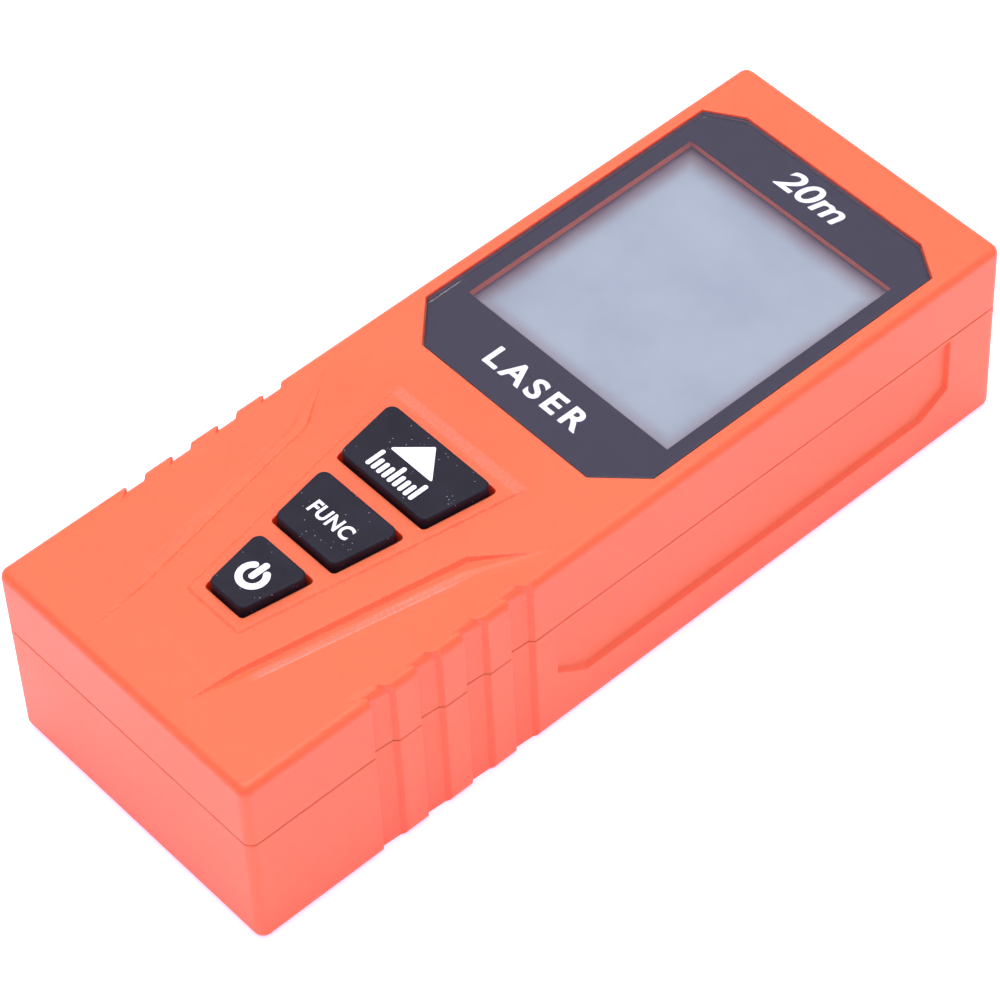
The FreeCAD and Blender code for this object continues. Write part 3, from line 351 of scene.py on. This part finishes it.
def display_film(name):
    """Front polarizer of the switched-off display: grey-blue, satin, with
    soft clouds and a darker band round the live area that is painted shadow of the
    window walls."""
    s = Shader(name)
    cloud = s.noise(0.10, 3.0, 0.55)
    mottle = s.noise(0.55, 3.0, 0.6)
    tone = s.mix(s.ramp(cloud, 0.30, 0.70), (0.212, 0.264, 0.280),
                 (0.246, 0.301, 0.316))
    tone = s.mix(s.ramp(mottle, 0.35, 0.75, 0.0, 0.35), tone,
                 (0.254, 0.311, 0.323))
    # Painted shadow: an uneven purple-grey band round the edge of the live area,
    # standing in for the shade the window walls cast on the film.
    axes = s.add("ShaderNodeSeparateXYZ")
    s.link(s.place, axes.inputs[0])
    across = s.ramp(s.math("ABSOLUTE", axes.outputs["X"], 0.0), 12.6, 14.9)
    along = s.ramp(s.math("ABSOLUTE", s.math("SUBTRACT", axes.outputs["Y"],
                                             23.75), 0.0), 13.4, 16.0)
    painted_shadow_band = s.math("MAXIMUM", across, along)
    uneven = s.ramp(s.noise(0.25, 3.0, 0.6), 0.3, 0.7, 0.75, 1.0)
    tone = s.mix(s.math("MULTIPLY", painted_shadow_band, uneven), tone,
                 (0.155, 0.132, 0.145))
    s.colour(tone)
    s.rough(s.ramp(cloud, 0.3, 0.7, 0.34, 0.44))
    s.set(spec=0.5)
    return s.material


def board(name):
    """Green solder mask with a hint of copper tracks below it."""
    s = Shader(name)
    wave = s.add("ShaderNodeTexWave")
    wave.bands_direction = "DIAGONAL"
    s.link(s.stretch(1.0, 1.0, 0.0), wave.inputs["Vector"])
    wave.inputs["Scale"].default_value = 0.55
    wave.inputs["Distortion"].default_value = 6.0
    wave.inputs["Detail"].default_value = 2.0
    tracks = s.ramp(wave.outputs["Fac"], 0.62, 0.70)
    tone = s.mix(tracks, (0.012, 0.115, 0.048), (0.020, 0.20, 0.080))
    s.colour(tone)
    s.rough(s.ramp(s.noise(4.0), 0.3, 0.7, 0.28, 0.38))
    s.height(tracks, 0.02, 0.6)
    s.set(coat=0.3, coat_rough=0.12)
    return s.material


def printed(name, colour):
    """Screen-printed ink: dense, faintly uneven, with a soft sheen."""
    s = Shader(name)
    fine = s.noise(8.0, 3.0, 0.6)
    s.colour(s.mix(s.ramp(fine, 0.3, 0.8), colour, shade(colour, 0.93)))
    s.rough(s.ramp(fine, 0.2, 0.8, 0.34, 0.46))
    s.height(fine, 0.003, 0.4)
    return s.material


M = {}
M["orange_plastic"] = case_plastic("case_orange", ORANGE, (0.95, 0.136, 0.036))
M["door_plastic"] = case_plastic("door_orange", shade(ORANGE, 0.985),
                                 (0.94, 0.133, 0.035))
M["lens_clear"] = clear("lens_acrylic", (0.985, 0.99, 0.995), 0.0, 1.41,
                        0.0)
M["lens_print"] = satin("lens_print", (0.014, 0.013, 0.018), 0.34, 0.8, 0.0,
                        0.05, 0.0, spec=0.0)
M["adhesive_tape"] = satin("adhesive", (0.05, 0.05, 0.05), 0.7)
M["polarizer_film"] = display_film("display_film")
M["lcd_glass"] = clear("lcd_glass", (0.90, 0.94, 0.96), 0.02, 1.52)
M["light_guide"] = satin("light_guide", (0.80, 0.84, 0.84), 0.35, 1.2, 0.004,
                         0.03, 0.05, sss=0.2, sss_scale=0.002)
M["led_resin"] = satin("led_resin", (0.85, 0.78, 0.35), 0.3, 4.0, 0.004, 0.06)
M["zebra_rubber"] = satin("zebra", (0.22, 0.22, 0.24), 0.6, 6.0, 0.01, 0.3)
M["frame_plastic"] = satin("display_frame", (0.30, 0.30, 0.34), 0.5, 4.0, 0.008,
                           0.06)
M["key_silicone"] = silicone("key_silicone")
M["mat_silicone"] = silicone("mat_silicone", False)
M["carbon_pill"] = satin("carbon_pill", (0.02, 0.02, 0.02), 0.75, 7.0, 0.01,
                         0.2)
M["board_green"] = board("solder_mask")
M["chip_black"] = satin("chip_black", (0.025, 0.025, 0.027), 0.55, 8.0, 0.008,
                        0.15)
M["buzzer_black"] = satin("buzzer_black", (0.02, 0.02, 0.022), 0.4, 5.0, 0.005)
M["screw_steel"] = metal("screw_zinc", (0.58, 0.58, 0.60), 0.34)
M["contact_steel"] = metal("contact_nickel", (0.70, 0.68, 0.62), 0.25,
                           (6.0, 1.0, 1.0))
M["bracket_plastic"] = satin("bracket_black", (0.022, 0.022, 0.025), 0.5, 5.0,
                             0.012, 0.2)
M["optic_glass"] = clear("optic_glass", (0.93, 0.95, 0.99), 0.0, 1.52)
M["barrel_brass"] = metal("barrel_brass", (0.72, 0.50, 0.20), 0.28,
                          (1.0, 5.0, 1.0))
M["diode_metal"] = metal("diode_gold", (0.86, 0.62, 0.24), 0.22)
M["sensor_metal"] = metal("sensor_can", (0.62, 0.62, 0.64), 0.25)
M["shield_tin"] = metal("shield_tin", (0.66, 0.66, 0.66), 0.36, (1.0, 1.0, 4.0))
M["ribbon_film"] = satin("ribbon_film", (0.50, 0.20, 0.03), 0.32, 2.0, 0.003,
                         0.08, 0.0, coat=0.4)
M["panel_black"] = satin("panel_black", (0.020, 0.020, 0.023), 0.36, 6.0, 0.006,
                         0.12, 0.15)
M["window_red"] = clear("receiver_filter", (0.42, 0.03, 0.04), 0.0, 1.5)
M["window_clear"] = clear("emitter_pane", (0.93, 0.96, 0.98), 0.0, 1.5)
M["cell_sleeve"] = metal("cell_sleeve", (0.30, 0.32, 0.36), 0.38,
                         (1.0, 0.4, 1.0), 0.06)
M["ink_white"] = printed("ink_white", (0.86, 0.85, 0.88))

slot_of = {p["node"]: p["material_slot"] for p in frame["record"]["subparts"]}
for name, obj in NODES.items():
    obj.data.materials.clear()
    obj.data.materials.append(M[slot_of[name]])
    smooth = [True] * len(obj.data.polygons)
    obj.data.polygons.foreach_set("use_smooth", smooth)
    crisp = obj.modifiers.new("crisp_edges", "EDGE_SPLIT")
    crisp.use_edge_angle = True
    crisp.split_angle = math.radians(22.0)
    crisp.use_edge_sharp = False


# ------------------------------------------------------------------- prints
def sheet_mesh(name, outlines, z, thick, body, material):
    """Flat printed shapes as thin closed plates; outlines are in mm and each
    is (outer loop, [hole loops])."""
    mesh = bpy.data.meshes.new(name)
    bm = bmesh.new()
    for outer, holes in outlines:
        edges = []
        for ring in [outer] + holes:
            verts = [bm.verts.new((x * MM, y * MM, z * MM)) for x, y in ring]
            edges += [bm.edges.new((verts[i], verts[(i + 1) % len(verts)]))
                      for i in range(len(verts))]
        bmesh.ops.triangle_fill(bm, edges=edges, use_beauty=True,
                                normal=(0, 0, 1))
    bmesh.ops.recalc_face_normals(bm, faces=bm.faces)
    for face in bm.faces:
        if face.normal.z < 0:
            face.normal_flip()
    lifted = bmesh.ops.extrude_face_region(bm, geom=list(bm.faces))
    top = [v for v in lifted["geom"] if isinstance(v, bmesh.types.BMVert)]
    bmesh.ops.translate(bm, verts=top, vec=(0, 0, thick * MM))
    bmesh.ops.recalc_face_normals(bm, faces=bm.faces)
    bm.to_mesh(mesh)
    bm.free()
    obj = bpy.data.objects.new(name, mesh)
    scene.collection.objects.link(obj)
    obj.data.materials.append(material)
    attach(obj, body)
    return obj


def arc(cx, cy, r, a0, a1, steps):
    return [(cx + r * math.cos(math.radians(a0 + (a1 - a0) * i / steps)),
             cy + r * math.sin(math.radians(a0 + (a1 - a0) * i / steps)))
            for i in range(steps + 1)]


def round_bar(x0, x1, y0, y1, r):
    pts = []
    for cx, cy, a in ((x1 - r, y1 - r, 0), (x0 + r, y1 - r, 90),
                      (x0 + r, y0 + r, 180), (x1 - r, y0 + r, 270)):
        pts += arc(cx, cy, r, a, a + 90, 6)
    return pts


def rounded(points, r, steps=5):
    """Polygon with its corners rounded by radius r."""
    out = []
    n = len(points)
    for i in range(n):
        p0, p1, p2 = (Vector(points[i - 1]), Vector(points[i]),
                      Vector(points[(i + 1) % n]))
        a, b = (p0 - p1).normalized(), (p2 - p1).normalized()
        half = a.angle(b) / 2
        reach = r / math.tan(half)
        s, e = p1 + a * reach, p1 + b * reach
        for k in range(steps + 1):
            t = k / steps
            q = s * (1 - t) ** 2 + p1 * 2 * t * (1 - t) + e * t ** 2
            out.append((q.x, q.y))
    return out


key_top = {}
for key in ("measure", "func", "power"):
    key_top[key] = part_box(key + "_button")[1].z / MM
INK = 0.022
LIFT = 0.004
icons = []
# Measure key: direction arrow over a short rule.
marks = [(rounded([(-3.3, -13.9), (3.3, -13.9), (0.0, -10.42)], 0.22), [])]
for i in range(9):
    x = -3.28 + 0.82 * i
    top = -14.5 if i in (0, 4, 8) else -15.35
    marks.append((round_bar(x - 0.275, x + 0.275, -17.05, top, 0.26), []))
icons.append(sheet_mesh("measure_icon", marks, key_top["measure"] + LIFT, INK,
                        "measure_key", M["ink_white"]))
# Power key: open ring with round ends, and a bar.
gap_at = 40
cap_x = 1.42 * math.sin(math.radians(gap_at))
cap_y = 1.42 * math.cos(math.radians(gap_at))
ring = arc(0, 0, 1.82, 90 + gap_at, 450 - gap_at, 40)
ring += arc(cap_x, cap_y, 0.40, 90 - gap_at, 270 - gap_at, 8)[1:-1]
ring += arc(0, 0, 1.02, 450 - gap_at, 90 + gap_at, 34)
ring += arc(-cap_x, cap_y, 0.40, gap_at - 90, gap_at + 90, 8)[1:-1]
ring = [(x + 0.05, y - 34.9) for x, y in ring]
icons.append(sheet_mesh("power_icon", [
    (ring, []), (round_bar(-0.34, 0.44, -35.35, -32.75, 0.38), [])],
    key_top["power"] + LIFT, INK, "power_key", M["ink_white"]))


def lettering(name, words, x, y, width, height, z, body, shear=0.0, weight=0.02,
              spacing=1.0, thick=INK):
    """Plain words in Blender's own typeface, fitted to a box."""
    curve = bpy.data.curves.new(name + "_curve", "FONT")
    curve.body = words
    curve.align_x = "CENTER"
    curve.align_y = "CENTER"
    curve.shear = shear
    curve.offset = weight
    curve.space_character = spacing
    curve.resolution_u = 6
    curve.extrude = 0.01
    text = bpy.data.objects.new(name + "_text", curve)
    scene.collection.objects.link(text)
    bpy.context.view_layer.update()
    mesh = bpy.data.meshes.new_from_object(
        text.evaluated_get(bpy.context.evaluated_depsgraph_get()))
    bpy.data.objects.remove(text)
    xs = [v.co.x for v in mesh.vertices]
    ys = [v.co.y for v in mesh.vertices]
    kx = width / (max(xs) - min(xs))
    ky = height / (max(ys) - min(ys))
    mx, my = (max(xs) + min(xs)) / 2, (max(ys) + min(ys)) / 2
    zs = [v.co.z for v in mesh.vertices]
    for v in mesh.vertices:
        v.co = Vector(((x + (v.co.x - mx) * kx) * MM,
                       (y + (v.co.y - my) * ky) * MM,
                       (z + (thick if v.co.z > (max(zs) + min(zs)) / 2 else 0.0))
                       * MM))
    mesh.name = name
    obj = bpy.data.objects.new(name, mesh)
    scene.collection.objects.link(obj)
    obj.data.materials.clear()
    obj.data.materials.append(M["ink_white"])
    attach(obj, body)
    return obj


# The two legends of the lens are printed on its underside.
print_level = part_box("lens_mask")[1].z / MM + 0.002
lettering("func_legend", "FUNC", 0.0, -24.5, 5.9, 1.85, key_top["func"] + LIFT,
          "func_key", weight=0.030, spacing=1.08)
lettering("range_legend", "20m", 0.0, 43.55, 9.3, 3.2, print_level,
          "housing", shear=0.22, weight=0.018, thick=0.005)
lettering("lens_legend", "LASER", 0.0, 3.45, 14.2, 2.9, print_level,
          "housing", weight=0.026, spacing=1.3, thick=0.005)

# -------------------------------------------------------------- surroundings
world = bpy.data.worlds.new("studio")
world.use_nodes = True
scene.world = world
tree = world.node_tree
back = tree.nodes["Background"]
back.inputs[1].default_value = 1.0
# A dim horizon under a bright, slightly cool ceiling.
sky_at = tree.nodes.new("ShaderNodeTexCoord")
sky_z = tree.nodes.new("ShaderNodeSeparateXYZ")
tree.links.new(sky_at.outputs["Generated"], sky_z.inputs[0])
sky = tree.nodes.new("ShaderNodeValToRGB")
tree.links.new(sky_z.outputs["Z"], sky.inputs[0])
sky.color_ramp.interpolation = "EASE"
sky.color_ramp.elements[0].position = 0.22
sky.color_ramp.elements[0].color = (0.36, 0.33, 0.52, 1.0)
sky.color_ramp.elements[1].position = 0.66
sky.color_ramp.elements[1].color = (0.98, 0.92, 1.34, 1.0)
tree.links.new(sky.outputs[0], back.inputs[0])


def area(name, at, target, size, power, colour=(1, 1, 1)):
    lamp = bpy.data.lights.new(name, "AREA")
    lamp.shape = "SQUARE"
    lamp.size = size
    lamp.energy = power
    lamp.color = colour
    obj = bpy.data.objects.new(name, lamp)
    at, target = Vector(at), Vector(target)
    obj.matrix_world = (Matrix.Translation(at) @
                        (target - at).to_track_quat("-Z", "Y").to_matrix().to_4x4())
    scene.collection.objects.link(obj)
    return obj


area("key_softbox", (-0.12, 0.10, 1.15), (0, 0, 0.02), 0.75, 8.9,
     (1.05, 1.0, 0.86))
back = area("back_softbox", (-0.92, 0.47, 0.37), (0, 0, 0.02), 0.42, 3.4)
back.visible_glossy = False
back.visible_transmission = False

mesh = bpy.data.meshes.new("floor")
r = 3.0
mesh.from_pydata([(-r, -r, 0), (r, -r, 0), (r, r, 0), (-r, r, 0)], [],
                 [(0, 1, 2, 3)])
floor = bpy.data.objects.new("floor", mesh)
scene.collection.objects.link(floor)
floor.location.z = -0.00002
paper = Shader("floor_paper")
grainy = paper.noise(0.02, 3.0)
paper.colour(paper.mix(grainy, (0.90, 0.90, 0.90), (0.92, 0.92, 0.92)))
paper.set(roughness=0.8, spec=0.1)
paper.bsdf.inputs["Emission Color"].default_value = (1.05, 1.02, 1.50, 1.0)
paper.bsdf.inputs["Emission Strength"].default_value = 0.405
# The floor is there from above only, so the back can be seen from below.
side_seen = paper.add("ShaderNodeNewGeometry")
gone = paper.add("ShaderNodeBsdfTransparent")
either = paper.add("ShaderNodeMixShader")
paper.link(side_seen.outputs["Backfacing"], either.inputs[0])
paper.link(paper.bsdf.outputs[0], either.inputs[1])
paper.link(gone.outputs[0], either.inputs[2])
paper.link(either.outputs[0], paper.out.inputs["Surface"])
floor.data.materials.append(paper.material)
